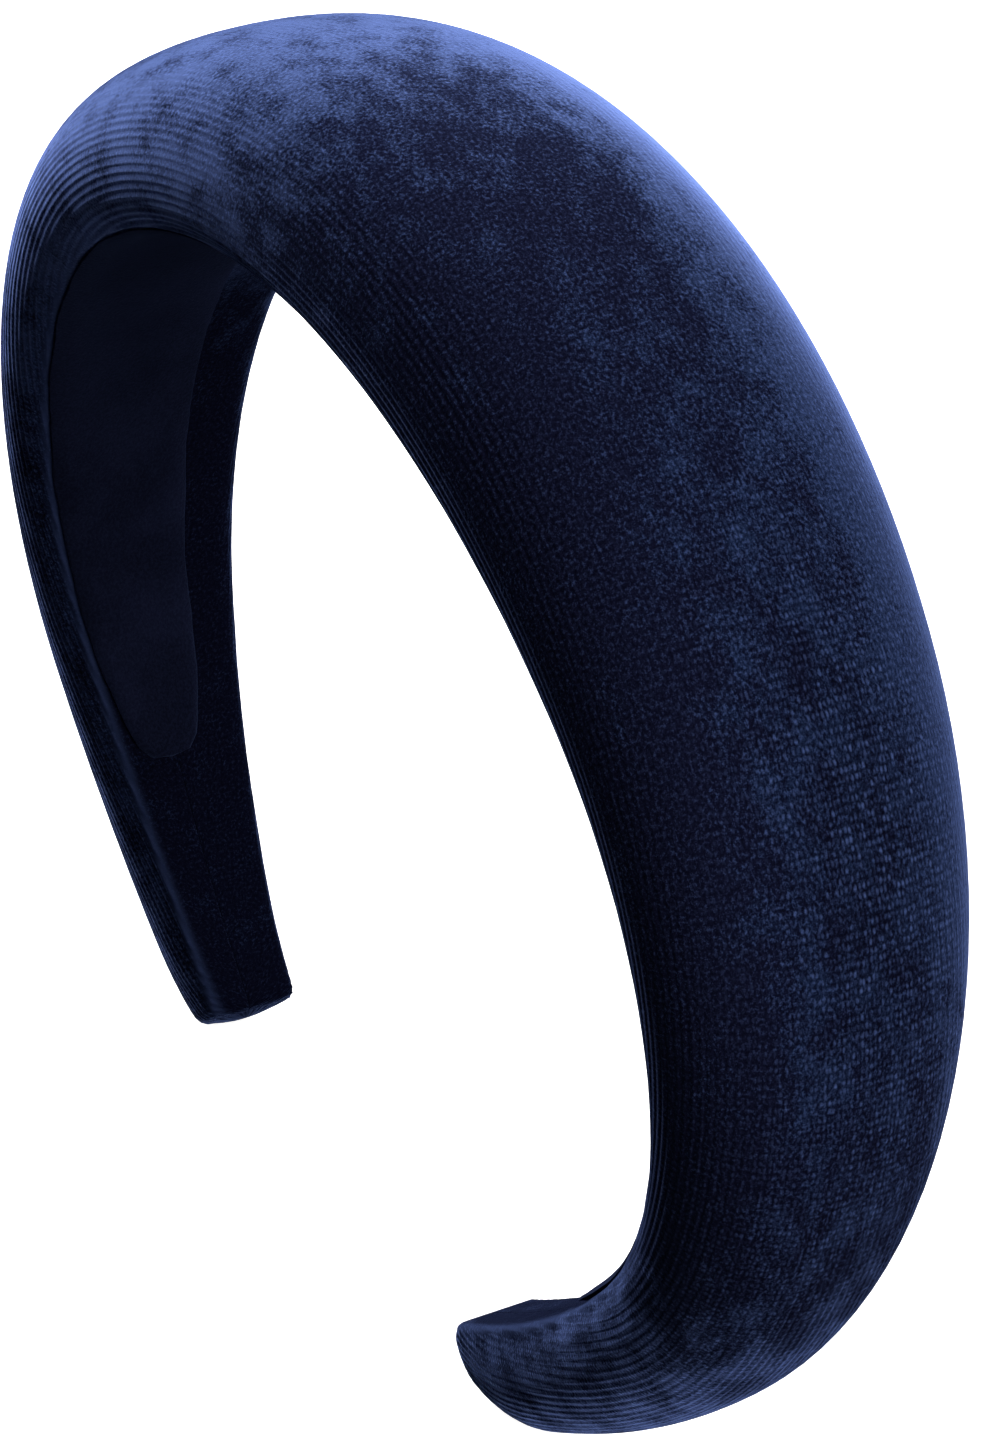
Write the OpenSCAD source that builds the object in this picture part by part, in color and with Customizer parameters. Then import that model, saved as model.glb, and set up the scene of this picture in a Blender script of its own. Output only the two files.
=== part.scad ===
// Padded velvet headband (alice band), in millimetres.
// The band stands on its two tips. X is left to right across the wearer's head, -Y is the front
// edge, +Z is up, and the origin is the centre of the bottom of the bounding box.
// Every layer follows one line, the inner face's arch, given by three tangent arcs a side.
// A point of a layer is [s, u, n]: s along the arch from the crown, u across the band, and n
// outwards from the inner face.

/* [Arch of the inner face] */
// Radius over the crown
crown_r = 72.5; // [60:0.5:85]
// Turn of the crown arc, each side, in degrees
crown_turn = 39; // [25:1:45]
// Radius at the temples
side_r = 48.5; // [44:0.5:75]
// Turn of the temple arc, each side, in degrees
side_turn = 83; // [60:1:88]
// Radius of the legs behind the ears
leg_r = 144; // [80:1:200]
// Turn of the leg arc, each side, in degrees
leg_turn = 18; // [10:1:26]

/* [Padded band] */
// Width at the crown
crown_w = 43.5; // [36:0.5:55]
// Width at the tips
tip_w = 11.5; // [11:0.5:18]
// Thickness at the crown
crown_t = 19; // [15:0.5:26]
// Thickness of the legs, just above the tips
leg_t = 12.5; // [10:0.5:15]
// Thickness of the blunt end of a tip
tip_t = 7; // [6.5:0.5:9]
// Length over which a tip rounds off
nose_len = 11; // [8:1:25]
// How suddenly the width falls from crown to tip
taper_power = 1.3; // [1:0.05:1.6]
// Exponent of the dome's curve: 2 is an ellipse, higher is squarer
dome_power = 2.45; // [2:0.05:3.2]
// Share of the thickness at which the section is widest
widest_share = 0.23; // [0.2:0.01:0.4]
// Share of the width that is flat on the inner face
flat_share = 0.7; // [0.7:0.01:0.85]
// How late the thickness falls from crown to leg
thinning_power = 1.75; // [1:0.05:2.5]

/* [Layers] */
// Velvet, at the outside and in the hems
cloth_t = 1; // [0.6:0.1:1.2]
// Hot-melt glue between the hems and the core
glue_t = 0.4; // [0.3:0.1:0.6]
// Moulded plastic core
core_t = 2; // [1.4:0.1:2.2]
// Adhesive film between the core and the foam
tape_t = 0.3; // [0.2:0.1:0.4]
// Lining strip glued on the inner face
lining_t = 0.8; // [0.5:0.1:1.2]
// Width of the core, as a share of the band's width
core_share = 0.72; // [0.6:0.01:0.74]
// Distance along the arch from the crown to each end of the lining
lining_reach = 134; // [110:1:150]
// Width of the lining, as a share of the band's width
lining_share = 0.6; // [0.5:0.01:0.6]
// How far the lining sits towards the front, as a share of the band's half width
lining_shift = 0.25; // [0.1:0.01:0.25]
// Width of the opening between the two hems, as a share of the band's width
slot_share = 0.3; // [0.2:0.01:0.34]
// How far that opening sits towards the front, as a share of the band's half width
slot_shift = 0.16; // [0.1:0.01:0.18]

/* [Hidden] */

leg_steps = 21;
nose_steps = 5;
corner_steps = 3;
dome_steps = 16;
foam_steps = 16;

// Clearance left between neighbouring layers, and between the foam and the cover
layer_gap = 0.1;
foam_gap = 0.3;

crown_len = crown_r * crown_turn * PI / 180;
side_len = side_r * side_turn * PI / 180;
leg_len = leg_r * leg_turn * PI / 180;
half_len = crown_len + side_len + leg_len;

// The opening between the hems ends under the lining
slot_reach = lining_reach - 6;
lining_taper = 18;
lining_end_half = 2.4;
core_reach = half_len - cloth_t - 0.8;
core_end = 4;

// Levels of the layers above the inner face
glue_n = cloth_t + layer_gap;
core_n = cloth_t + glue_t + 2 * layer_gap;
tape_n = core_n + core_t + layer_gap;
foam_n = tape_n + tape_t + layer_gap;

// Heading of the arch, in degrees, at a distance from the crown
function heading(a) =
    a <= crown_len ? crown_turn * a / crown_len
    : a <= crown_len + side_len ? crown_turn + side_turn * (a - crown_len) / side_len
    : crown_turn + side_turn + leg_turn * (a - crown_len - side_len) / leg_len;

// Where an arc that starts at p ends, in X and Z
function arc_end(p, r, from, to) = p + r * [sin(to) - sin(from), cos(to) - cos(from)];

crown_end = arc_end([0, 0], crown_r, 0, crown_turn);
side_end = arc_end(crown_end, side_r, crown_turn, crown_turn + side_turn);

function arch_point(a) =
    a <= crown_len ? arc_end([0, 0], crown_r, 0, heading(a))
    : a <= crown_len + side_len ? arc_end(crown_end, side_r, crown_turn, heading(a))
    : arc_end(side_end, leg_r, crown_turn + side_turn, heading(a));

// [s, u, n] in the arch's own frame, where the crown's inner face is at Z = 0
function raw_point(s, u, n) =
    let (a = abs(s), side = s < 0 ? -1 : 1, p = arch_point(a), h = heading(a))
    [side * (p[0] + n * sin(h)), u, p[1] + n * cos(h)];

// Half width of the band
function half_w(s) =
    (tip_w + (crown_w - tip_w) * pow(max(0, cos(90 * abs(s) / half_len)), taper_power)) / 2;

// How far s is into the rounded tip, from 0 to 1
function nose(s) = min(1, max(0, (abs(s) - half_len + nose_len) / nose_len));

// Thickness of the padded band
function pad_t(s) =
    crown_t - (crown_t - leg_t) * pow(abs(s) / half_len, thinning_power)
    - (leg_t - tip_t) * (1 - sqrt(1 - pow(nose(s), 2)));

// Half width inside the dome at level n, d in from the skin
function dome_u(s, d, n) =
    let (w = half_w(s) - d, mid = widest_share * pad_t(s), high = pad_t(s) - d - mid, flat = flat_share * w)
    n > mid ? w * pow(max(0, 1 - pow((n - mid) / high, dome_power)), 1 / dome_power)
    : flat + (w - flat) * sqrt(max(0, 1 - pow((mid - n) / (mid - d), 2)));

// Stations along the arch, closer together in the rounded tips
half_stations = concat(
    [for (i = [0:leg_steps]) (half_len - nose_len) * i / leg_steps],
    [for (i = [1:nose_steps]) half_len - nose_len + nose_len * sin(90 * i / nose_steps)]
);
last_station = len(half_stations) - 1;
stations = concat([for (i = [last_station:-1:1]) -half_stations[i]], half_stations);
slot_first = [for (i = [0:last_station]) if (-stations[i] <= slot_reach) i][0];
slot_last = len(stations) - 1 - slot_first;

// The stations from one reach to another, with both ends added
function stations_between(from, to) =
    concat([from], [for (s = stations) if (s > from + 0.5 && s < to - 0.5) s], [to]);

function slot_mid(s) = -slot_shift * half_w(s);

// Outline of the D section, d in from the skin, from one side of the slot round to the other
function cover_section(s, d) =
    let (
        w = half_w(s) - d, t = pad_t(s), mid = widest_share * t, flat = flat_share * w,
        slot = slot_share * half_w(s), e = 2 / dome_power,
        corner = [for (i = [0:corner_steps]) let (a = 90 * i / corner_steps)
            [flat + (w - flat) * sin(a), mid - (mid - d) * cos(a)]]
    )
    concat(
        [[slot_mid(s) + slot, d]],
        corner,
        [for (i = [1:dome_steps - 1]) let (b = 180 * i / dome_steps)
            [w * sign(cos(b)) * pow(abs(cos(b)), e), mid + (t - d - mid) * pow(sin(b), e)]],
        [for (i = [corner_steps:-1:0]) [-corner[i][0], corner[i][1]]],
        [[slot_mid(s) - slot, d]]
    );

// Outline of the foam's section: the dome above the core
function foam_section(s) =
    let (d = cloth_t + foam_gap, top = pad_t(s) - d)
    [for (i = [0:foam_steps]) let (
        b = 180 * i / foam_steps, n = foam_n + (top - foam_n) * pow(max(0, sin(b)), 2 / dome_power)
    ) [sign(cos(b)) * dome_u(s, d, n), n]];

// Outline of a flat strip with small chamfers
function strip_section(mid, half, low, high) =
    let (c = (high - low) / 4)
    [
        [mid + half - c, low], [mid + half, low + c], [mid + half, high - c], [mid + half - c, high],
        [mid - half + c, high], [mid - half, high - c], [mid - half, low + c], [mid - half + c, low],
    ];

// Half width that narrows to end_half over the last stretch before the reach
function narrowed(half, end_half, s, reach, stretch) =
    let (q = min(1, max(0, (abs(s) - reach + stretch) / stretch)))
    end_half + (half - end_half) * sqrt(1 - q * q);

// Bottom of the tips in the arch's own frame
bottom = min([for (s = half_stations) for (p = cover_section(s, 0)) raw_point(s, p[0], p[1])[2]]);

function ring(s, section) = [for (p = section) raw_point(s, p[0], p[1]) - [0, 0, bottom]];

// Two triangles for each quad between rings of n points; the slot's quads are left out
function skin_faces(base, n, rings, outwards, open_from, open_to) =
    [for (i = [0:rings - 2]) for (j = [0:n - 1]) if (j < n - 1 || i < open_from || i >= open_to)
        let (a = base + i * n + j, b = base + i * n + (j + 1) % n, c = b + n, d = a + n)
        each outwards ? [[a, d, c], [a, c, b]] : [[a, b, c], [a, c, d]]];

// A fan over one end ring, from the point at the top of the dome
function end_faces(base, n, facing_start) =
    let (top = floor(n / 2))
    [for (k = [1:n - 2]) let (p = base + top, q = base + (top + k) % n, r = base + (top + k + 1) % n)
        facing_start ? [p, q, r] : [p, r, q]];

// A closed solid through rings of equal length
module swept(rings) {
    n = len(rings[0]);
    count = len(rings);
    polyhedron(
        points = [for (r = rings) each r],
        faces = concat(
            skin_faces(0, n, count, true, count, count),
            end_faces(0, n, true),
            end_faces((count - 1) * n, n, false)
        )
    );
}

// A closed shell between outer and inner rings, open along the slot
module slotted_shell(outer, inner, from, to) {
    n = len(outer[0]);
    count = len(outer);
    inside = count * n;
    polyhedron(
        points = concat([for (r = outer) each r], [for (r = inner) each r]),
        faces = concat(
            skin_faces(0, n, count, true, from, to),
            skin_faces(inside, n, count, false, from, to),
            end_faces(0, n, true),
            end_faces((count - 1) * n, n, false),
            end_faces(inside, n, false),
            end_faces(inside + (count - 1) * n, n, true),
            [for (i = [from:to - 1]) let (a = i * n, b = a + n)
                each [[a, inside + a, inside + b], [a, inside + b, b]]],
            [for (i = [from:to - 1]) let (a = i * n + n - 1, b = a + n)
                each [[a, inside + b, inside + a], [a, b, inside + b]]],
            let (a = from * n, b = a + n - 1) [[b, inside + b, inside + a], [b, inside + a, a]],
            let (a = to * n, b = a + n - 1) [[b, inside + a, inside + b], [b, a, inside + a]]
        )
    );
}

// A strip along the arch between two reaches, given its middle and half width at s
module strip(from, to, low, high, mid, half) {
    swept([for (s = stations_between(from, to)) ring(s, strip_section(mid(s), half(s), low, high))]);
}

module velvet_cover() {
    squeeze = 1 - cloth_t / half_len;
    color("#2b3350")
    slotted_shell(
        [for (s = stations) ring(s, cover_section(s, 0))],
        [for (s = stations) ring(s * squeeze, cover_section(s * squeeze, cloth_t))],
        slot_first, slot_last
    );
}

module foam_pad() {
    reach = half_len - cloth_t - 1.2;
    color("#d9d6cc")
    swept([for (s = stations_between(-reach, reach)) ring(s, foam_section(s))]);
}

module foam_tape() {
    reach = core_reach - core_end;
    color("#e8e2c8")
    strip(-reach, reach, tape_n, tape_n + tape_t, function (s) 0, function (s) 0.6 * half_w(s));
}

module band_core() {
    color("#22262e")
    strip(
        -core_reach, core_reach, core_n, core_n + core_t,
        function (s) 0,
        function (s) narrowed(core_share * half_w(s), 0.35 * half_w(s), s, core_reach, core_end)
    );
}

module hem_glue(mid_share) {
    reach = lining_reach + 12;
    color("#cfc9b4")
    strip(
        -reach, reach, glue_n, glue_n + glue_t - layer_gap,
        function (s) mid_share * half_w(s), function (s) 0.1 * half_w(s)
    );
}

module front_hem_glue() {
    hem_glue(-0.6);
}

module back_hem_glue() {
    hem_glue(0.42);
}

module tip_glue(side) {
    from = side < 0 ? -half_len + 5 : half_len - 15;
    color("#cfc9b4")
    strip(from, from + 10, glue_n, glue_n + glue_t - layer_gap, function (s) 0, function (s) 0.45 * half_w(s));
}

module tip_glue_left() {
    tip_glue(-1);
}

module tip_glue_right() {
    tip_glue(1);
}

// The adhesive fills the opening between the hems, from the lining up to the core
module lining_tape() {
    reach = slot_reach - 12;
    color("#e8e2c8")
    strip(
        -reach, reach, layer_gap, core_n - layer_gap,
        function (s) slot_mid(s), function (s) slot_share * half_w(s) - 0.4
    );
}

module inner_lining() {
    color("#20263c")
    strip(
        -lining_reach, lining_reach, -layer_gap - lining_t, -layer_gap,
        function (s) -lining_shift * half_w(s),
        function (s) narrowed(lining_share * half_w(s), lining_end_half, s, lining_reach, lining_taper)
    );
}

velvet_cover();
foam_pad();
foam_tape();
band_core();
front_hem_glue();
back_hem_glue();
tip_glue_left();
tip_glue_right();
lining_tape();
inner_lining();
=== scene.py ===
"""Cloth, foam, lining and studio of a padded velvet headband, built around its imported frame.

A place on the band is s along the arch from the crown (plus is the wearer's left), u across it (minus
is the front edge) and n outwards from the inner face. A place on the velvet is s along the band and v
across the cloth, measured over the padding from the middle of the dome, so the wales keep their pitch
everywhere.
"""

import math

import bmesh
import bpy
import numpy as np
from bpy.props import FloatProperty, FloatVectorProperty, IntProperty, PointerProperty
from bpy.types import Operator, Panel, PropertyGroup
from mathutils import Matrix, Vector, noise


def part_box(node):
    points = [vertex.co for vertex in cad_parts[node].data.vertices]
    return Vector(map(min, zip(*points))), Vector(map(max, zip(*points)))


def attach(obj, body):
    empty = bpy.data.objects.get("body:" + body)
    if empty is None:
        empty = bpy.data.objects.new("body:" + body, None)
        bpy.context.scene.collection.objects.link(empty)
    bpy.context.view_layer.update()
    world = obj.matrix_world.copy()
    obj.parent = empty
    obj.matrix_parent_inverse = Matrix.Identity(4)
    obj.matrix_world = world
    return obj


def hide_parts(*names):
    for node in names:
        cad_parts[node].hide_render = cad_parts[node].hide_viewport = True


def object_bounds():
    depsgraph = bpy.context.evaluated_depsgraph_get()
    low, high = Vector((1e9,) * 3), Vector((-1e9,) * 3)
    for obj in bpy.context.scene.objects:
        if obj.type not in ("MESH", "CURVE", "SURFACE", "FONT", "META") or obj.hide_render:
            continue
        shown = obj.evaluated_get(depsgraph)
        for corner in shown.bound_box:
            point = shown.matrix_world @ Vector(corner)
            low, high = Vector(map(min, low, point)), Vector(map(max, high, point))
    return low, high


bl_info = {
    "name": "Padded Velvet Headband",
    "version": (1, 0, 0),
    "blender": (4, 5, 0),
    "location": "View3D > Sidebar > Headband",
    "description": "Builds the velvet, foam, lining and studio of a padded headband around its frame",
    "category": "Add Mesh",
}

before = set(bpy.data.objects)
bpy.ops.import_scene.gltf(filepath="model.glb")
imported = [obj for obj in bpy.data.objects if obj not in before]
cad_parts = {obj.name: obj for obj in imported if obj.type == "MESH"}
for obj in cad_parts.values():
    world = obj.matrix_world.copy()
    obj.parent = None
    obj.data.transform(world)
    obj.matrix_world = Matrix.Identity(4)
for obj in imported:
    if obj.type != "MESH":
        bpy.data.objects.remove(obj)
CAD_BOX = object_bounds()
COVER_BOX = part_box("velvet_cover")
MM = 0.001
MERGE = 0.000001

# Points of a section: round each edge, over the dome, and the one that lies over the core's edge
CORNER_STEPS = 24
DOME_STEPS = 321
RIM_PLACE = 10

# Rings of points that close an end, as shares of the section's size, from the end's middle outwards
TIP_RINGS = (0.0, 0.4, 0.75)
FOAM_RINGS = (0.0, 0.5)
LINING_RINGS = (0.0, 0.6)

# The velvet's mesh: rows in a rounded tip, and columns over the cloth's inner side
NOSE_ROWS = 10
INSIDE_COLUMNS = 45

# The velvet: lengths over which the hems close and the relief fades at a cut edge, the spread of the
# ridge over the core's edge, the height up to which the pile is pressed, and how far a tip swells out
HEM_CLOSING = 8 * MM
RELIEF_FADE = 2 * MM
RIM_SPREAD = 0.55 * MM
PRESSED_LEVEL = 1.2 * MM
TIP_BULGE = 0.5 * MM

# The cloth simulation: its grid, its steps, and how near the inner face or a tip the cloth is glued
SETTLE_ROWS = 111
SETTLE_COLUMNS = 39
SETTLE_STEPS = 20
GLUED_LEVEL = 0.6 * MM
GLUED_TIP = 4 * MM

# The foam: its grid, how far it stays from the cloth, from the film under it and from a tip, and the
# depth of its pores and their turns, in radians a millimetre
FOAM_ROWS = 133
FOAM_OVER = 41
FOAM_UNDER = 13
FOAM_GAP = 0.5 * MM
FOAM_LIFT = 0.1 * MM
FOAM_SHORT = 2.6 * MM
PORE_DEPTH = 0.12 * MM
PORE_RATE = 2.1

# The lining: its grid, and how far an end swells out
LINING_ROWS = 181
LINING_ACROSS = 25
LINING_UNDER = 7
END_BULGE = 0.4 * MM

# Softboxes, named as the camera sees them: place, side in metres and watts
SOFTBOXES = {
    "left_softbox": ((-0.9, 0.1, 0.35), 0.6, 24),
    "back_softbox": ((-0.4, 0.65, 0.55), 0.7, 3.2),
    "top_softbox": ((-0.45, 0.1, 0.85), 0.7, 3.2),
    "right_softbox": ((0.75, 0.05, 0.65), 0.6, 5.2),
    "side_softbox": ((0.9, 0.2, 0.06), 0.5, 5),
}

# The world: its tint, the light that it gives, and how much brighter the camera sees it
AIR_COLOUR = (0.93, 0.96, 1.0)
AIR_STRENGTH = 0.02
BACKDROP_STRENGTH = 0.93

# The floor: its own light, and half its side in metres
FLOOR_GLOW = 1.05
FLOOR_HALF = 2.5

# Width of the image over its height
ASPECT = 986 / 1442


def length(name, description, millimetres):
    return FloatProperty(name=name, description=description, default=millimetres * MM,
                         unit="LENGTH", precision=5)


def angle(name, description, degrees):
    return FloatProperty(name=name, description=description, default=math.radians(degrees),
                         subtype="ANGLE")


def number(name, description, value):
    return FloatProperty(name=name, description=description, default=value, min=0.0)


def colour(name, description, value):
    return FloatVectorProperty(name=name, description=description, default=value,
                               subtype="COLOR", size=3, min=0.0, max=1.0)


class HeadbandShape(PropertyGroup):
    """The arch of the inner face, as three tangent arcs a side, and the padded section on it"""

    crown_radius: length("Crown radius", "Radius of the inner face over the crown", 72.5)
    crown_turn: angle("Crown turn", "Turn of the crown arc, each side", 39)
    temple_radius: length("Temple radius", "Radius at the temples", 48.5)
    temple_turn: angle("Temple turn", "Turn of the temple arc, each side", 83)
    leg_radius: length("Leg radius", "Radius of the legs behind the ears", 144)
    leg_turn: angle("Leg turn", "Turn of the leg arc, each side", 18)
    crown_width: FloatProperty(name="Crown width", description="Width of the band at the crown",
                               default=COVER_BOX[1].y - COVER_BOX[0].y, unit="LENGTH", precision=5)
    tip_width: length("Tip width", "Width at the tips", 11.5)
    crown_thick: length("Crown thickness", "Thickness at the crown", 19)
    leg_thick: length("Leg thickness", "Thickness of the legs, just above the tips", 12.5)
    tip_thick: length("Tip thickness", "Thickness of the blunt end of a tip", 7)
    nose: length("Nose", "Length over which a tip rounds off", 11)
    taper: number("Taper", "How suddenly the width falls from crown to tip", 1.3)
    thinning: number("Thinning", "How late the thickness falls from crown to leg", 1.75)
    dome: number("Dome", "Exponent of the dome: 2 is an ellipse, higher is squarer", 2.45)
    widest: number("Widest", "Share of the thickness at which the section is widest", 0.23)
    flat: number("Flat", "Share of the width that is flat on the inner face", 0.7)
    tip_round: length("Tip rounding", "Rounding of the cloth where it folds over a tip", 1.2)


class HeadbandVelvet(PropertyGroup):
    """The velvet and how it is drawn over the foam"""

    thick: length("Thickness", "Thickness of the velvet", 1)
    slot: number("Slot", "Opening between the hems, as a share of the band's width", 0.3)
    slot_shift: number("Slot shift", "How far it sits to the front, as a share of the half width", 0.16)
    slot_reach: length("Slot reach", "Distance from the crown to each end of the opening", 128)
    hem_gap: length("Hem gap", "Gap between the hems where they butt together", 0.06)
    wale: length("Wale pitch", "Distance from one wale of the knit to the next", 0.9)
    stitch: length("Stitch", "Distance from one tuft of pile to the next", 0.56)
    relief: length("Relief", "Height of the wales where the cloth is drawn tight", 0.07)
    rim: length("Rim", "Height of the ridge where the cloth turns over the core's edge", 0.3)
    per_wale: IntProperty(name="Columns", description="Mesh columns in a wale", default=6, min=4)
    row_step: length("Row step", "Distance between mesh rows along the band", 2.5)
    pressure: number("Pressure", "Pressure of the foam behind the cloth, in pascals", 1500)
    slack: length("Slack", "How much smaller than the pad the cloth starts", 0.1)
    most_move: length("Most move", "The furthest that the cloth may settle", 0.8)
    ground: colour("Ground", "Colour of the knit between the tufts of pile", (0.0012, 0.0014, 0.0045))
    # The darker and lighter pile colours: the crushed velvet's own mottling, and also painted shade and
    # painted light where the lift value places them
    laid_and_painted_shade: colour("Laid pile", "Colour where the pile is pressed flat", (0.0078, 0.0090, 0.027))
    lifted_and_painted_light: colour("Lifted pile", "Colour where the pile stands up", (0.0145, 0.026, 0.074))
    # Painted highlight: this colour is mixed into the base colour at pile tips and stitches
    glint: colour("Glint", "Colour of the pile tips that catch the light", (0.085, 0.13, 0.33))
    sheen: colour("Sheen", "Tint of the pile's sheen", (0.28, 0.41, 1.0))


class HeadbandLining(PropertyGroup):
    """The strip of cloth glued along the inner face"""

    thick: length("Thickness", "Thickness of the strip", 0.8)
    gap: length("Gap", "Gap under the strip", 0.1)
    reach: length("Reach", "Distance from the crown to each end", 134)
    width: number("Width", "Width, as a share of the band's width", 0.6)
    shift: number("Shift", "How far it sits to the front, as a share of the half width", 0.25)
    taper: length("Taper", "Length over which each end narrows", 18)
    end_half: length("End half width", "Half width of each end", 2.4)
    wobble: length("Wobble", "How far the cut edges wander", 0.28)
    colour: colour("Colour", "Colour of the brushed cloth", (0.0078, 0.0098, 0.026))


class HeadbandStudio(PropertyGroup):
    """Floor, lights and camera"""

    azimuth: angle("Azimuth", "How far the camera stands to the front of the left tip's side", 35.87)
    elevation: angle("Elevation", "Height of the camera above the horizon", 37.64)
    roll: angle("Roll", "Turn of the camera about its own line of sight", 8.61)
    distance: length("Distance", "From the camera to the point that it looks at", 528.6)
    aim_side: length("Aim to the side", "Sideways place of that point", 10.4)
    aim_drop: length("Aim below the crown", "How far that point is below the crown", 44.3)
    zoom: number("Zoom", "Focal length, in image widths", 5.26)
    floor: colour("Floor", "Colour of the floor", (0.86, 0.86, 0.86))


class Band:
    """The padded band as formulas, all on numpy arrays."""

    def __init__(self, shape):
        self.shape = shape
        self.arcs = (
            (shape.crown_radius, shape.crown_turn),
            (shape.temple_radius, shape.temple_turn),
            (shape.leg_radius, shape.leg_turn),
        )
        self.half_length = sum(radius * turn for radius, turn in self.arcs)
        self.inner_top = COVER_BOX[1].z - shape.crown_thick

    def place(self, s, u, n):
        """Points of the part. Past a tip the last arc runs on."""
        reach = np.abs(s)
        start, turned = 0.0, 0.0
        heading = x = z = 0.0
        for radius, turn in self.arcs:
            last = turned + turn >= sum(t for _, t in self.arcs) - MERGE
            bend = np.clip((reach - start) / radius, 0, math.pi if last else turn)
            x = x + radius * (np.sin(turned + bend) - math.sin(turned))
            z = z + radius * (np.cos(turned + bend) - math.cos(turned))
            heading = heading + bend
            start, turned = start + radius * turn, turned + turn
        side = np.where(np.asarray(s) < 0, -1.0, 1.0)
        out = side * (x + n * np.sin(heading))
        up = z + n * np.cos(heading) + self.inner_top
        return np.stack(np.broadcast_arrays(out, u + 0 * x, up), axis=-1)

    def half_width(self, s):
        shape = self.shape
        fall = np.cos(np.pi / 2 * np.minimum(1, np.abs(s) / self.half_length)) ** shape.taper
        return (shape.tip_width + (shape.crown_width - shape.tip_width) * fall) / 2

    def thickness(self, s):
        shape = self.shape
        along = np.minimum(1, np.abs(s) / self.half_length)
        into_nose = np.clip((np.abs(s) - self.half_length + shape.nose) / shape.nose, 0, 1)
        return (shape.crown_thick - (shape.crown_thick - shape.leg_thick) * along ** shape.thinning
                - (shape.leg_thick - shape.tip_thick) * (1 - np.sqrt(1 - into_nose ** 2)))

    def rows(self, step):
        """Stations from tip to tip, closer together in the rounded tips."""
        straight = self.half_length - self.shape.nose
        body = np.linspace(0, straight, round(straight / step) + 1)
        turn = np.linspace(0, np.pi / 2, NOSE_ROWS + 1)[1:]
        half = np.concatenate([body, straight + self.shape.nose * np.sin(turn)])
        return np.concatenate([-half[:0:-1], half])

    def section(self, s, side, low, top, slot_from, slot_to):
        """Dense outline at each s, from the slot's front edge over the dome to its back edge.

        side, low and top are how far it lies inside the skin at the edges, on the inner face and on
        the dome. Returns u, n and v, one row for each s."""
        shape = self.shape
        w = (self.half_width(s) - side)[:, None]
        t = self.thickness(s)[:, None]
        low = (low + 0 * s)[:, None]
        mid, flat = shape.widest * t, shape.flat * w
        corner = np.linspace(0, np.pi / 2, CORNER_STEPS)
        corner_u = flat + (w - flat) * np.sin(corner)
        corner_n = mid - (mid - low) * np.cos(corner)
        over = np.linspace(np.pi, 0, DOME_STEPS)[1:-1]
        power = 2 / shape.dome
        dome_u = w * np.sign(np.cos(over)) * np.abs(np.cos(over)) ** power
        dome_n = mid + (t - top - mid) * np.sin(over) ** power
        u = np.concatenate([slot_from[:, None], -corner_u, dome_u, corner_u[:, ::-1], slot_to[:, None]], 1)
        n = np.concatenate([low, corner_n, dome_n, corner_n[:, ::-1], low], 1)
        run = np.hypot(np.diff(u, axis=1, prepend=u[:, :1]), np.diff(n, axis=1, prepend=n[:, :1]))
        v = np.cumsum(run, 1)
        crest = 1 + len(corner) + len(over) // 2
        return u, n, v - v[:, crest:crest + 1]


def smooth(x):
    x = np.clip(x, 0, 1)
    return x * x * (3 - 2 * x)


def ramp(x, start, width):
    """0 up to start, 1 from a width past it and smooth between, start and width in millimetres."""
    return smooth((x - start * MM) / (width * MM))


def hump(x, middle, reach):
    """1 at middle, falling off smoothly to both sides over about reach, both in millimetres."""
    return np.exp(-((x - middle * MM) / (reach * MM)) ** 2)


def capped(s, rings):
    """Stations with one more at each end for every ring, and each one's share of the section's size."""
    shares = np.concatenate([rings, np.ones(len(s)), rings[::-1]])
    return np.concatenate([s[:1].repeat(len(rings)), s, s[-1:].repeat(len(rings))]), shares


def along_rows(at, where, values):
    """Each row of values, known at the places in where, read at the places in at."""
    return np.array([np.interp(a, w, v) for a, w, v in zip(at, where, values)])


def between(values, at):
    """Smooth (Catmull-Rom) reading of values along their first axis, at fractional places."""
    first = np.clip(np.floor(at).astype(int), 0, len(values) - 2)
    t = np.clip(at - first, 0, 1).reshape((-1,) + (1,) * (values.ndim - 1))
    a, b, c, d = (values[np.clip(first + k, 0, len(values) - 1)] for k in (-1, 0, 1, 2))
    return b + t / 2 * (c - a + t * (2 * a - 5 * b + 4 * c - d + t * (3 * (b - c) + d - a)))


def skin_level(band, s, u):
    """Height of the cover's inner face at u, which turns up towards each edge of the band."""
    half = band.half_width(s)
    flat = band.shape.flat * half
    past = np.clip((np.abs(u) - flat) / (half - flat), 0, 1)
    return band.shape.widest * band.thickness(s) * (1 - np.sqrt(1 - past ** 2))


def slot_edges(band, velvet, s):
    """Where the two hems end on the inner face: apart under the lining, butted together past it."""
    half = band.half_width(s)
    past = smooth((np.abs(s) - velvet.slot_reach + HEM_CLOSING) / HEM_CLOSING)
    opening = velvet.slot * half * (1 - past) + velvet.hem_gap / 2 * past
    middle = -velvet.slot_shift * half
    return middle - opening, middle + opening


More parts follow.
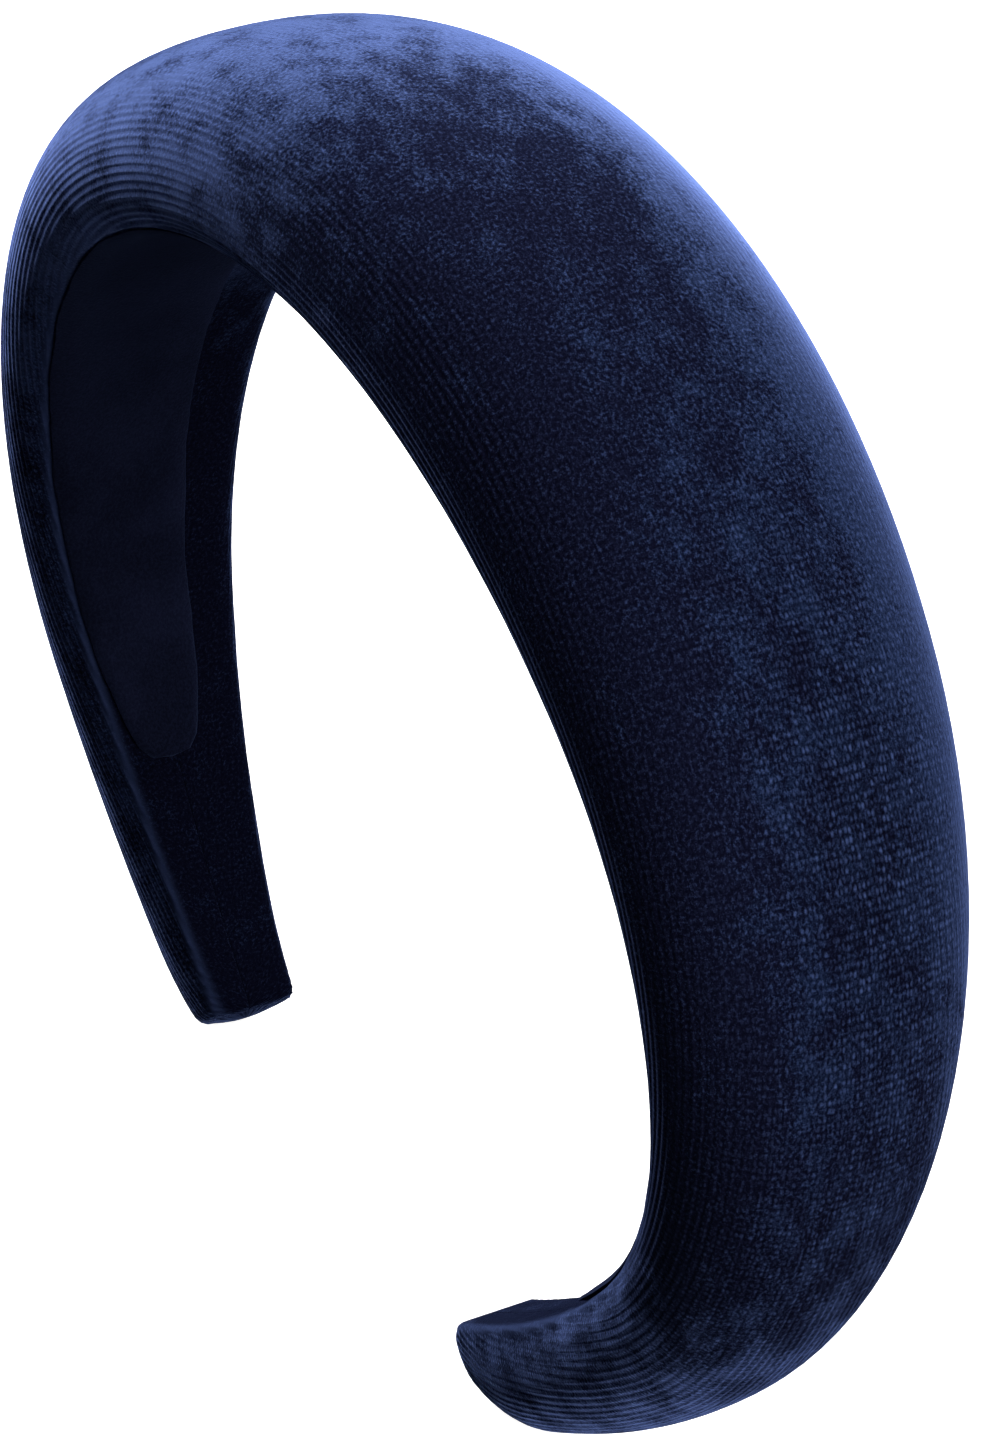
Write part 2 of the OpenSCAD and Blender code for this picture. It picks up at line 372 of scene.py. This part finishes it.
def grid_piece(name, points, uv=None, kinds=None, wear=None):
    """A piece from a grid of points: edges that meet are joined and rows that shrink to a point close it.

    wear holds named values for each point, from 0 to 1, that the piece's material reads."""
    rows, columns = points.shape[:2]
    bm = bmesh.new()
    bmesh.ops.create_grid(bm, x_segments=columns - 1, y_segments=rows - 1, size=1)
    mesh = bpy.data.meshes.new(name)
    bm.to_mesh(mesh)
    bm.clear()
    flat = np.empty(len(mesh.vertices) * 3, np.float32)
    mesh.vertices.foreach_get("co", flat)
    cells = np.rint((flat.reshape(-1, 3)[:, :2] + 1) / 2 * (columns - 1, rows - 1)).astype(int)
    column, row = cells.T
    mesh.vertices.foreach_set("co", points[row, column].astype(np.float32).ravel())
    corners = np.empty(len(mesh.loops), np.int32)
    mesh.loops.foreach_get("vertex_index", corners)
    if uv is not None:
        layer = mesh.uv_layers.new(name="fabric")
        layer.data.foreach_set("uv", uv[row, column][corners].astype(np.float32).ravel())
    if kinds is not None:
        mesh.polygons.foreach_set("material_index", kinds[column[corners].reshape(-1, 4).min(1)])
    for title, values in (wear or {}).items():
        attribute = mesh.attributes.new(title, "FLOAT", "POINT")
        attribute.data.foreach_set("value", values[row, column].astype(np.float32))
    bm.from_mesh(mesh)
    bmesh.ops.remove_doubles(bm, verts=bm.verts, dist=MERGE)
    bmesh.ops.recalc_face_normals(bm, faces=bm.faces)
    for face in bm.faces:
        face.smooth = True
    bm.to_mesh(mesh)
    bm.free()
    piece = bpy.data.objects.new(name, mesh)
    bpy.context.scene.collection.objects.link(piece)
    return piece


def settled(band, velvet):
    """Cloth simulation of the velvet over the foam. Returns a function that gives how far the
    cloth has moved at s and at q, the share of the way from the dome's middle (0) to a hem (-1
    or 1)."""
    s = np.linspace(-band.half_length, band.half_length, SETTLE_ROWS)
    q = np.linspace(-1, 1, SETTLE_COLUMNS)
    ends = slot_edges(band, velvet, s)

    def skin(slack):
        u, n, v = band.section(s, slack, 0, slack, *ends)
        at = np.where(q < 0, -q * v[:, :1], q * v[:, -1:])
        return along_rows(at, v, u), along_rows(at, v, n)

    loose_u, loose_n = skin(velvet.slack)
    full_u, full_n = skin(0)
    start = band.place(s[:, None], loose_u, loose_n)
    piece = grid_piece("settling_cloth", start)
    held = piece.vertex_groups.new(name="glued")
    glued = (full_n < GLUED_LEVEL) | (np.abs(s)[:, None] > band.half_length - GLUED_TIP)
    held.add([int(i) for i in np.flatnonzero(glued.ravel())], 1.0, "REPLACE")
    cloth = piece.modifiers.new("settle", "CLOTH")
    settings = cloth.settings
    settings.quality = 6
    settings.mass = 0.001
    settings.tension_stiffness = settings.compression_stiffness = 30
    settings.shear_stiffness = 12
    settings.bending_stiffness = 0.4
    settings.use_pressure = True
    settings.uniform_pressure_force = velvet.pressure
    settings.effector_weights.gravity = 0
    settings.vertex_group_mass = "glued"
    for step in range(SETTLE_STEPS):
        bpy.context.scene.frame_set(1 + step)
    done = piece.evaluated_get(bpy.context.evaluated_depsgraph_get())
    flat = np.empty(len(done.data.vertices) * 3, np.float32)
    done.data.vertices.foreach_get("co", flat)
    moved = flat.reshape(start.shape) - band.place(s[:, None], full_u, full_n)
    far = np.linalg.norm(moved, axis=-1, keepdims=True)
    moved *= np.minimum(1, velvet.most_move / np.maximum(far, MERGE))
    bpy.context.scene.frame_set(1)
    bpy.data.objects.remove(piece)

    def read(at_s, at_q):
        rows = between(moved, (at_s + band.half_length) / (2 * band.half_length) * (len(s) - 1))
        return np.array([between(row, (line + 1) / 2 * (len(q) - 1)) for row, line in zip(rows, at_q)])

    return read


class Wire:
    """A socket of a shader. Arithmetic on it adds Math nodes."""

    def __init__(self, tree, socket):
        self.tree = tree
        self.socket = socket

    def maths(self, operation, *terms):
        node = self.tree.nodes.new("ShaderNodeMath")
        node.operation = operation
        for socket, term in zip(node.inputs, terms):
            plug(self.tree, socket, term)
        return Wire(self.tree, node.outputs[0])

    def __add__(self, other):
        return self.maths("ADD", self, other)

    def __radd__(self, other):
        return self.maths("ADD", other, self)

    def __sub__(self, other):
        return self.maths("SUBTRACT", self, other)

    def __rsub__(self, other):
        return self.maths("SUBTRACT", other, self)

    def __mul__(self, other):
        return self.maths("MULTIPLY", self, other)

    def __rmul__(self, other):
        return self.maths("MULTIPLY", other, self)

    def clamped(self):
        node = self.tree.nodes.new("ShaderNodeClamp")
        plug(self.tree, node.inputs["Value"], self)
        return Wire(self.tree, node.outputs[0])

    def cosine(self):
        return self.maths("COSINE", self)

    def step(self, low, high):
        """0 below low, 1 above high and smooth between."""
        node = self.tree.nodes.new("ShaderNodeMapRange")
        node.interpolation_type = "SMOOTHSTEP"
        for name, value in (("Value", self), ("From Min", low), ("From Max", high)):
            plug(self.tree, node.inputs[name], value)
        return Wire(self.tree, node.outputs[0])


def plug(tree, socket, value):
    """Links a wire to a socket, or sets the socket to a number, colour or vector."""
    if isinstance(value, Wire):
        tree.links.new(value.socket, socket)
    elif hasattr(value, "__len__") and socket.type == "RGBA":
        socket.default_value = (*value[:3], 1.0)
    else:
        socket.default_value = value


class Finish:
    """A material that is being wired."""

    def __init__(self, name):
        self.material = bpy.data.materials.new(name)
        self.material.use_nodes = True
        self.tree = self.material.node_tree
        self.tree.nodes.clear()

    def node(self, kind, settings=(), sockets=(), out=0):
        """Adds a node: its settings first, then the values or links of its sockets."""
        node = self.tree.nodes.new("ShaderNode" + kind)
        for name, value in dict(settings).items():
            setattr(node, name, value)
        for name, value in dict(sockets).items():
            plug(self.tree, node.inputs[name], value)
        return Wire(self.tree, node.outputs[out])

    def fabric(self, width, length):
        """Distances across and along the cloth in millimetres, from the piece's own UV map."""
        parts = self.node("SeparateXYZ", sockets={"Vector": self.node("UVMap", {"uv_map": "fabric"})})
        second = Wire(self.tree, parts.socket.node.outputs[1])
        return (parts - 0.5) * (width / MM), (second - 0.5) * (length / MM)

    def wear(self, name):
        """One of the piece's own values, from 0 to 1."""
        return self.node("Attribute", {"attribute_name": name}, out=2)

    def at(self, x, y):
        return self.node("CombineXYZ", sockets={"X": x, "Y": y})

    def place(self):
        """Object coordinates in millimetres."""
        where = self.node("TexCoord", out=3)
        return self.node("VectorMath", {"operation": "SCALE"}, {"Vector": where, "Scale": 1 / MM})

    def cloud(self, where, scale, detail=2.0, roughness=0.5):
        return self.node("TexNoise", sockets={"Vector": where, "Scale": scale, "Detail": detail,
                                              "Roughness": roughness})

    def cells(self, where, scale, randomness=1.0, out=0):
        """Distance to the nearest point of a scattered set, or with out=1 its own random colour."""
        return self.node("TexVoronoi", sockets={"Vector": where, "Scale": scale, "Randomness": randomness},
                         out=out)

    def blend(self, factor, a, b):
        """Colour a where factor is 0 and b where it is 1."""
        node = self.tree.nodes.new("ShaderNodeMix")
        node.data_type = "RGBA"
        for socket, value in ((node.inputs[0], factor), (node.inputs[6], a), (node.inputs[7], b)):
            plug(self.tree, socket, value)
        return Wire(self.tree, node.outputs[2])

    def bump(self, height, depth, strength=1.0):
        return self.node("Bump", sockets={"Height": height, "Distance": depth, "Strength": strength})

    def shader(self, **sockets):
        """A Principled shader; base_color names the socket Base Color."""
        named = {name.replace("_", " ").title().replace("Ior", "IOR"): v for name, v in sockets.items()}
        return self.node("BsdfPrincipled", sockets=named)

    def mixed(self, factor, a, b):
        node = self.tree.nodes.new("ShaderNodeMixShader")
        for socket, value in zip(node.inputs, (factor, a, b)):
            plug(self.tree, socket, value)
        return Wire(self.tree, node.outputs[0])

    def done(self, shader):
        node = self.tree.nodes.new("ShaderNodeOutputMaterial")
        plug(self.tree, node.inputs["Surface"], shader)
        return self.material


def velvet_finish(velvet, cloth_width, cloth_length):
    """Knitted velvet: wales with stitches, pile tips with painted glints, and patches of crushed pile that
    are partly random and partly painted light and shade.
    """
    finish = Finish("navy_velvet")
    across, along = finish.fabric(cloth_width, cloth_length)
    names = ("drawn", "pile_lift_and_painted_light", "knit", "pressed", "rim")
    drawn, pile_lift_and_painted_light, knit, pressed, rim = (finish.wear(name) for name in names)
    wale = (across * (2 * math.pi * MM / velvet.wale)).cosine() * 0.5 + 0.5
    grooves = 1 - (1 - wale.step(0.0, 0.7)) * drawn * 0.5
    loops = finish.at(across * (1.15 * MM / velvet.stitch), along * (0.85 * MM / velvet.stitch))
    stitch = 1 - finish.cells(loops, 1.0, 0.35).step(0.10, 0.50)
    shine = finish.cells(loops, 1.0, 0.35, 1).step(0.2, 1.0)
    tips = finish.cloud(finish.at(across, along), 2.7, 3.0, 0.8)
    crush = finish.cloud(finish.at(across * 0.22, along * 0.17), 1.0, 6.0, 0.74)
    # Painted highlights on pile tips and stitches, fewer where the pile is pressed
    glint = tips.step(0.52, 0.66) * (1.2 - 0.9 * knit) + stitch * shine * knit * 1.5
    glint = glint * (1 - 0.75 * pressed)
    # How far the pile stands: random crushed patches and fine tufts, plus the painted light and shade of
    # the lift value
    upright_and_painted_light = (crush * 1.25 + tips * 0.9 + pile_lift_and_painted_light * 0.6 - 0.65).step(0.54, 0.94)
    tuft = grooves * (0.25 + 1.1 * tips.step(0.3, 0.68)) * (1 - 0.65 * knit + 0.9 * knit * stitch)
    tuft = tuft * (1 - 0.6 * pressed)
    pile = finish.blend(upright_and_painted_light, velvet.laid_and_painted_shade, velvet.lifted_and_painted_light)
    body = finish.blend(1 - tuft.clamped(), pile, velvet.ground)
    lively = finish.blend(glint * 0.4 * grooves, body, velvet.glint)
    quiet = finish.blend(glint * 0.2 * grooves, body, velvet.glint)
    # Painted highlight along the ridge over the core's edge
    wear_and_rim_highlight = finish.blend(rim * 0.35, quiet, velvet.glint)
    height = wale * drawn * 0.6 + tips * 0.6 + stitch * knit * 0.5
    normal = finish.bump(height, 0.14 * MM, 0.7)
    # The upright and the crushed pile; where the painted part of the mix places them, they also stand for
    # painted light and painted shade
    raised = finish.shader(base_color=lively, roughness=0.75, specular_ior_level=0.0, normal=normal,
                           sheen_weight=1.0, sheen_roughness=0.38, sheen_tint=(*velvet.sheen, 1))
    crushed = finish.shader(base_color=wear_and_rim_highlight, roughness=0.8, specular_ior_level=0.0, normal=normal,
                            sheen_weight=0.36, sheen_roughness=0.28, sheen_tint=(*velvet.sheen, 1))
    return finish.done(finish.mixed(upright_and_painted_light, crushed, raised))


def backing_finish():
    """The velvet's plain knitted back."""
    finish = Finish("knit_backing")
    where = finish.place()
    weave = finish.cloud(where, 1.6, 3.0)
    body = finish.blend(weave.step(0.35, 0.7), (0.006, 0.008, 0.02), (0.02, 0.026, 0.06))
    return finish.done(finish.shader(base_color=body, roughness=0.9, normal=finish.bump(weave, 0.1 * MM)))


def lining_finish(lining):
    """Brushed woven cloth, matt."""
    finish = Finish("lining_cloth")
    where = finish.place()
    nap = finish.cloud(where, 3.2, 3.0, 0.65)
    wear_and_rim_highlight = finish.cloud(where, 0.09, 3.0)
    dark, light = ([share * c for c in lining.colour] for share in (0.5, 1.6))
    body = finish.blend(nap.step(0.35, 0.7) * 0.6 + wear_and_rim_highlight.step(0.35, 0.65) * 0.4, dark, light)
    brushed = finish.shader(base_color=body, roughness=0.92, specular_ior_level=0.0, sheen_weight=0.25,
                            sheen_roughness=0.5, sheen_tint=(0.18, 0.26, 0.6, 1),
                            normal=finish.bump(nap, 0.12 * MM))
    return finish.done(brushed)


def foam_finish():
    """Off-white open-cell foam."""
    finish = Finish("open_cell_foam")
    where = finish.place()
    pores = finish.cells(where, 1.1)
    stain = finish.cloud(where, 0.05, 2.0)
    clean = finish.blend(stain, (0.72, 0.70, 0.62), (0.80, 0.78, 0.70))
    # Darker in the pores: painted shade in the hollows
    body = finish.blend(pores.step(0.15, 0.5), (0.42, 0.40, 0.34), clean)
    return finish.done(finish.shader(base_color=body, roughness=0.95, normal=finish.bump(pores, 0.4 * MM)))


def film_finish():
    """Double-sided adhesive film with small bubbles."""
    finish = Finish("adhesive_film")
    bubbles = finish.cells(finish.place(), 0.6)
    body = finish.blend(bubbles.step(0.1, 0.3), (0.86, 0.84, 0.74), (0.78, 0.74, 0.58))
    return finish.done(finish.shader(base_color=body, roughness=0.35 + bubbles * 0.2, coat_weight=0.3))


def core_finish():
    """Dark moulded plastic with fine flow marks."""
    finish = Finish("moulded_core")
    grain = finish.cloud(finish.place(), 0.8, 4.0)
    body = finish.blend(grain, (0.012, 0.013, 0.017), (0.03, 0.032, 0.04))
    return finish.done(finish.shader(base_color=body, roughness=0.32 + grain * 0.25,
                                     normal=finish.bump(grain, 0.05 * MM)))


def glue_finish():
    """Milky hot-melt glue."""
    finish = Finish("hot_melt_glue")
    haze = finish.cloud(finish.place(), 0.7, 3.0)
    body = finish.blend(haze, (0.55, 0.53, 0.46), (0.78, 0.76, 0.68))
    return finish.done(finish.shader(base_color=body, roughness=0.22 + haze * 0.2, coat_weight=0.4,
                                     normal=finish.bump(haze, 0.2 * MM)))


def floor_finish(studio):
    """Plain pale board."""
    finish = Finish("studio_floor")
    pale = (*studio.floor, 1)
    return finish.done(finish.shader(base_color=pale, roughness=0.9, emission_color=pale,
                                     emission_strength=FLOOR_GLOW))


def dress(piece, *materials):
    piece.data.materials.clear()
    for material in materials:
        piece.data.materials.append(material)


class HEADBAND_OT_velvet(Operator):
    """Draw the velvet over the pad, with its wales, hems and folded tips"""

    bl_idname = "headband.velvet"
    bl_label = "Velvet Cover"

    def execute(self, context):
        velvet = context.scene.headband_velvet
        band = Band(context.scene.headband_shape)
        rounding = band.shape.tip_round
        s, shares = capped(band.rows(velvet.row_step), TIP_RINGS)
        into = np.clip((np.abs(s) - band.half_length + rounding) / rounding, 0, 1)
        inset = rounding * (1 - np.sqrt(1 - into ** 2))
        u, n, v = band.section(s, inset, inset, 0, *slot_edges(band, velvet, s))
        widest = np.abs(v).max()
        step = velvet.wale / velvet.per_wale
        count = math.ceil(widest / step)
        at = np.arange(-count, count + 1) * step
        place_v = np.clip(at[None, :], v[:, :1], v[:, -1:])
        skin_u, skin_n = along_rows(place_v, v, u), along_rows(place_v, v, n)
        middle_n = (band.thickness(s)[:, None] + inset[:, None]) / 2
        skin_u = skin_u * shares[:, None]
        skin_n = middle_n + (skin_n - middle_n) * shares[:, None]
        bulge = TIP_BULGE * (1 - shares ** 2) * np.sign(s)
        q = np.where(place_v < 0, place_v / -v[:, :1], place_v / v[:, -1:])
        moved = settled(band, velvet)
        outside = band.place((s + bulge)[:, None], skin_u, skin_n) + moved(s, q) * shares[:, None, None]
        wear = self.wear(s, place_v, skin_n, v)
        wale = 0.5 * np.cos(2 * np.pi * place_v / velvet.wale)
        hem = smooth(np.minimum(place_v - v[:, :1], v[:, -1:] - place_v) / RELIEF_FADE)
        tip = smooth((band.half_length - np.abs(s)) / RELIEF_FADE)[:, None]
        relief = velvet.relief * wale * hem * (0.2 + 0.8 * wear["drawn"]) + velvet.rim * wear["rim"]
        outside = outside + self.outwards(outside) * (relief * tip)[..., None]
        inside = self.inside(band, velvet, s, shares, moved)
        points = np.concatenate([outside, inside, outside[:, :1]], axis=1)
        spare = points.shape[1] - len(at)
        wear = {title: np.pad(values, ((0, 0), (0, spare)), "wrap") for title, values in wear.items()}
        uv = np.zeros(points.shape[:2] + (2,))
        uv[..., 0] = 0.5
        uv[:, :len(at), 0] = at / (2 * widest) + 0.5
        uv[..., 1] = (s / (2 * band.half_length) + 0.5)[:, None]
        kinds = np.ones(points.shape[1], np.int32)
        kinds[:len(at) - 1] = 0
        piece = grid_piece("velvet", points, uv, kinds, wear)
        dress(piece, velvet_finish(velvet, 2 * widest, 2 * band.half_length), backing_finish())
        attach(piece, "root")
        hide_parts("velvet_cover")
        return {"FINISHED"}

    def outwards(self, grid):
        """Unit normals of a grid of points, or zero where a row has shrunk to a point."""
        normals = np.cross(np.gradient(grid, axis=0), np.gradient(grid, axis=1))
        size = np.linalg.norm(normals, axis=-1, keepdims=True)
        return np.where(size > 0, normals / np.where(size > 0, size, 1), 0)

    def wear(self, s, at, level, v):
        """How the pile lies, with painted light and shade, from 0 to 1 at each point of the cloth, s along
        it and at across it.

        level is the point's height over the inner face, and v the places of the dense outline.
        The cloth is drawn tight over the front edge and down the legs, so its wales show there, and pressed
        smooth on the inner face. The lift value is partly the pile's own lift over the back of the crown
        and partly painted light and shade: painted light there and on the wearer's right of the crown,
        painted shade down the front of the left leg and in a band over the top of the crown."""
        far = np.abs(s)[:, None]
        side = s[:, None]
        pressed = 1 - smooth(level / PRESSED_LEVEL)
        front = ramp(-at, 13, 9) * (1 - 0.6 * ramp(side, 15, 30))
        leg = ramp(far, 60, 50)
        # Lift over the back of the crown, partly the pile's own and partly painted light along the back
        # edge, and in a patch on the left leg
        back = ramp(at, 3, 12) * (1 - ramp(far, 68, 22))
        crown = ramp(side, -30, 30) * 0.4 + 0.6
        middle = hump(side, 62, 26) * hump(at, 2, 11)
        tips = ramp(far, 98, 18)
        # Painted shade down the front of the left leg, partly also pile that lies flat
        laid_and_painted_shade = ramp(-at, 6, 10) * ramp(side, 5, 30) * (1 - tips)
        # Painted light on the wearer's right side of the crown
        right = ramp(-side, 2, 24) * (1 - ramp(far, 75, 30))
        # Painted shade in a band over the top of the crown
        painted_shade_band = hump(side, 8, 14) * (1 - ramp(at, 2, 10))
        # Pile lift with painted light and painted shade mixed in
        pile_lift_and_painted_light = (0.38 + 0.5 * back * crown + 0.15 * middle + 0.15 * tips + 0.3 * right
                    - 0.35 * laid_and_painted_shade - 0.18 * painted_shade_band - 0.4 * pressed)
        knit = np.clip(0.2 + 0.6 * leg + 0.8 * middle, 0, 1)
        edge = v[:, RIM_PLACE:RIM_PLACE + 1]
        return {
            "drawn": np.clip(front + 0.75 * leg, 0, 1) * (1 - 0.9 * pressed),
            "pile_lift_and_painted_light": np.clip(pile_lift_and_painted_light, 0, 1),
            "knit": knit * (1 - 0.8 * pressed) * (1 - 0.6 * front),
            "pressed": pressed,
            "rim": np.exp(-((at - edge) / RIM_SPREAD) ** 2),
        }

    def inside(self, band, velvet, s, shares, moved):
        """The cloth's inner side, from the back hem round to the front one."""
        thick = velvet.thick
        s = s * (1 - thick / band.half_length)
        u, n, v = band.section(s, thick, thick, thick, *slot_edges(band, velvet, s))
        q = np.linspace(1, -1, INSIDE_COLUMNS)
        at = np.where(q < 0, -q * v[:, :1], q * v[:, -1:])
        middle = band.thickness(s)[:, None] / 2
        in_u = along_rows(at, v, u) * shares[:, None]
        in_n = middle + (along_rows(at, v, n) - middle) * shares[:, None]
        drift = moved(s, np.broadcast_to(q, at.shape)) * shares[:, None, None]
        return band.place(s[:, None], in_u, in_n) + drift


class HEADBAND_OT_foam(Operator):
    """Shape the soft foam pad that fills the cover"""

    bl_idname = "headband.foam"
    bl_label = "Foam Pad"

    def execute(self, context):
        velvet = context.scene.headband_velvet
        band = Band(context.scene.headband_shape)
        power = 2 / band.shape.dome
        inset = velvet.thick + FOAM_GAP
        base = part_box("foam_tape")[1].z + FOAM_LIFT - band.inner_top
        reach = band.half_length - FOAM_SHORT
        s, shares = (rows[:, None] for rows in capped(np.linspace(-reach, reach, FOAM_ROWS), FOAM_RINGS))
        around = np.linspace(0, np.pi, FOAM_OVER)
        half = band.half_width(s) - inset
        top = band.thickness(s) - inset
        n = base + (top - base) * np.sin(around) ** power
        mid = band.shape.widest * band.thickness(s)
        over = np.clip((n - mid) / (top - mid), 0, 1)
        u = np.sign(np.cos(around)) * half * (1 - over ** band.shape.dome) ** (1 / band.shape.dome)
        under = np.linspace(-1, 1, FOAM_UNDER)[1:]
        u = np.concatenate([u, under * u[:, :1]], 1)
        n = np.concatenate([n, base + 0 * under * n[:, :1]], 1)
        middle = (top + base) / 2
        points = band.place(s, u * shares, middle + (n - middle) * shares)
        pores = PORE_DEPTH * np.sin(points / MM * PORE_RATE).prod(axis=-1, keepdims=True)
        points = points + pores * (0.0, 0.7, -0.7) * shares[..., None]
        points[:, -1] = points[:, 0]
        piece = grid_piece("foam", points)
        dress(piece, foam_finish())
        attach(piece, "root")
        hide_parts("foam_pad")
        return {"FINISHED"}


class HEADBAND_OT_lining(Operator):
    """Glue the lining strip along the inner face, over the hems"""

    bl_idname = "headband.lining"
    bl_label = "Lining Strip"

    def execute(self, context):
        lining = context.scene.headband_lining
        band = Band(context.scene.headband_shape)
        stations, shares = capped(np.linspace(-lining.reach, lining.reach, LINING_ROWS), LINING_RINGS)
        s, shares = stations[:, None], shares[:, None]
        into = np.clip((np.abs(s) - lining.reach + lining.taper) / lining.taper, 0, 1)
        wide = lining.width * band.half_width(s)
        half = lining.end_half + (wide - lining.end_half) * np.sqrt(1 - into ** 2)
        front = -half + lining.wobble * self.wander(stations, 0.5)
        back = half + lining.wobble * self.wander(stations, 7.5)
        across = np.sin(np.linspace(-np.pi / 2, np.pi / 2, LINING_ACROSS))
        rounded = 1 - 0.6 * np.abs(across) ** 10
        shown = -lining.gap - lining.thick * rounded
        glued = np.linspace(1, -1, LINING_UNDER)[1:]
        u = np.concatenate([across, glued])
        n = np.concatenate([shown, 0 * glued - lining.gap])
        middle, reach = (front + back) / 2, (back - front) / 2
        u = -lining.shift * band.half_width(s) + middle + u * reach * shares
        level = -lining.gap - lining.thick / 2
        n = level + (n - level) * (0.35 + 0.65 * shares) * np.where(shares > 0, 1, 0)
        n = n + skin_level(band, s, u)
        points = band.place(s + END_BULGE * np.sign(s) * (1 - shares), u, n)
        points[:, -1] = points[:, 0]
        piece = grid_piece("lining", points)
        dress(piece, lining_finish(lining))
        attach(piece, "root")
        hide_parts("inner_lining")
        area = float(np.trapz(2 * half[:, 0], stations))
        return {"FINISHED"}

    def wander(self, stations, lane):
        """How a cut edge wanders along the strip: a slow wave and a finer one, its own in each lane."""
        slow = (noise.noise(Vector((s / (6 * MM), lane, 0))) for s in stations)
        fine = (noise.noise(Vector((s / (2 * MM), lane, 3))) for s in stations)
        return np.array([a + 0.5 * b for a, b in zip(slow, fine)])[:, None]


class HEADBAND_OT_inner_parts(Operator):
    """Finish the core, the adhesive films and the glue beads that the cover hides"""

    bl_idname = "headband.inner_parts"
    bl_label = "Inner Parts"

    def execute(self, context):
        film, glue = film_finish(), glue_finish()
        finishes = {
            "band_core": core_finish(), "foam_tape": film, "lining_tape": film,
            "front_hem_glue": glue, "back_hem_glue": glue,
            "tip_glue_left": glue, "tip_glue_right": glue,
        }
        for name, material in finishes.items():
            dress(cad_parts[name], material)
        return {"FINISHED"}


class HEADBAND_OT_stage(Operator):
    """Lay the floor and set the soft lights and the camera"""

    bl_idname = "headband.stage"
    bl_label = "Studio"

    def execute(self, context):
        studio = context.scene.headband_studio
        scene = context.scene
        scene.view_settings.view_transform = "Standard"
        self.floor(studio)
        centre = (CAD_BOX[0] + CAD_BOX[1]) / 2
        for name, (where, size, power) in SOFTBOXES.items():
            self.softbox(name, Vector(where), centre, size, power)
        scene.world = self.air()
        self.camera(studio, scene)
        return {"FINISHED"}

    def air(self):
        """Dim even light from all round, with a pale backdrop behind."""
        world = bpy.data.worlds.new("studio_air")
        world.use_nodes = True
        tree = world.node_tree
        seen = tree.nodes.new("ShaderNodeLightPath")
        strength = Wire(tree, seen.outputs["Is Camera Ray"]) * BACKDROP_STRENGTH + AIR_STRENGTH
        plug(tree, tree.nodes["Background"].inputs["Strength"], strength)
        plug(tree, tree.nodes["Background"].inputs["Color"], AIR_COLOUR)
        return world

    def floor(self, studio):
        """A pale glowing floor, hidden from the rays that light the band, so its glow doesn't reach it."""
        bm = bmesh.new()
        bmesh.ops.create_grid(bm, x_segments=8, y_segments=8, size=FLOOR_HALF)
        bmesh.ops.translate(bm, verts=bm.verts, vec=(0, 0, CAD_BOX[0].z))
        mesh = bpy.data.meshes.new("floor")
        bm.to_mesh(mesh)
        bm.free()
        floor = bpy.data.objects.new("floor", mesh)
        bpy.context.scene.collection.objects.link(floor)
        dress(floor, floor_finish(studio))
        floor.visible_diffuse = False
        floor.visible_glossy = False

    def softbox(self, name, where, aim, size, power):
        """A square light that faces the point aim."""
        light = bpy.data.lights.new(name, "AREA")
        light.shape = "SQUARE"
        light.size = size
        light.energy = power
        lamp = bpy.data.objects.new(name, light)
        lamp.location = where
        lamp.rotation_euler = (aim - where).to_track_quat("-Z", "Y").to_euler()
        bpy.context.scene.collection.objects.link(lamp)

    def camera(self, studio, scene):
        """The camera, aimed at a point under the crown and turned about its line of sight."""
        cos, sin = math.cos, math.sin
        level = cos(studio.elevation)
        towards = Vector((level * cos(studio.azimuth), -level * sin(studio.azimuth), sin(studio.elevation)))
        right = (-towards).cross(Vector((0, 0, 1))).normalized()
        up = right.cross(-towards)
        tilt = Matrix.Rotation(studio.roll, 3, towards)
        crown = COVER_BOX[1].z - scene.headband_shape.crown_thick
        target = Vector((studio.aim_side, 0, crown - studio.aim_drop))
        turned = Matrix((tilt @ right, tilt @ up, towards)).transposed().to_4x4()
        data = bpy.data.cameras.new("studio_camera")
        data.lens = studio.zoom * ASPECT * data.sensor_width
        data.clip_start = 0.01
        camera = bpy.data.objects.new("studio_camera", data)
        camera.matrix_world = Matrix.Translation(target + studio.distance * towards) @ turned
        scene.collection.objects.link(camera)
        scene.camera = camera


class HEADBAND_PT_panel(Panel):
    """Lists the steps of the headband"""

    bl_label = "Headband"
    bl_space_type = "VIEW_3D"
    bl_region_type = "UI"
    bl_category = "Headband"

    def draw(self, context):
        for step in STEPS:
            self.layout.operator(step.bl_idname)
        for group in GROUPS:
            self.layout.label(text=group)
            settings = getattr(context.scene, group)
            for name in settings.__annotations__:
                self.layout.prop(settings, name)


STEPS = (
    HEADBAND_OT_velvet,
    HEADBAND_OT_foam,
    HEADBAND_OT_lining,
    HEADBAND_OT_inner_parts,
    HEADBAND_OT_stage,
)
GROUPS = {
    "headband_shape": HeadbandShape,
    "headband_velvet": HeadbandVelvet,
    "headband_lining": HeadbandLining,
    "headband_studio": HeadbandStudio,
}


def register():
    for kind in (*GROUPS.values(), *STEPS, HEADBAND_PT_panel):
        bpy.utils.register_class(kind)
    for name, kind in GROUPS.items():
        setattr(bpy.types.Scene, name, PointerProperty(type=kind))


def unregister():
    for name in GROUPS:
        delattr(bpy.types.Scene, name)
    for kind in (HEADBAND_PT_panel, *reversed(STEPS), *GROUPS.values()):
        bpy.utils.unregister_class(kind)


def main():
    """Builds the headband and its studio."""
    register()
    bpy.ops.headband.stage()
    bpy.ops.headband.velvet()
    bpy.ops.headband.foam()
    bpy.ops.headband.lining()
    bpy.ops.headband.inner_parts()


if __name__ == "__main__":
    main()
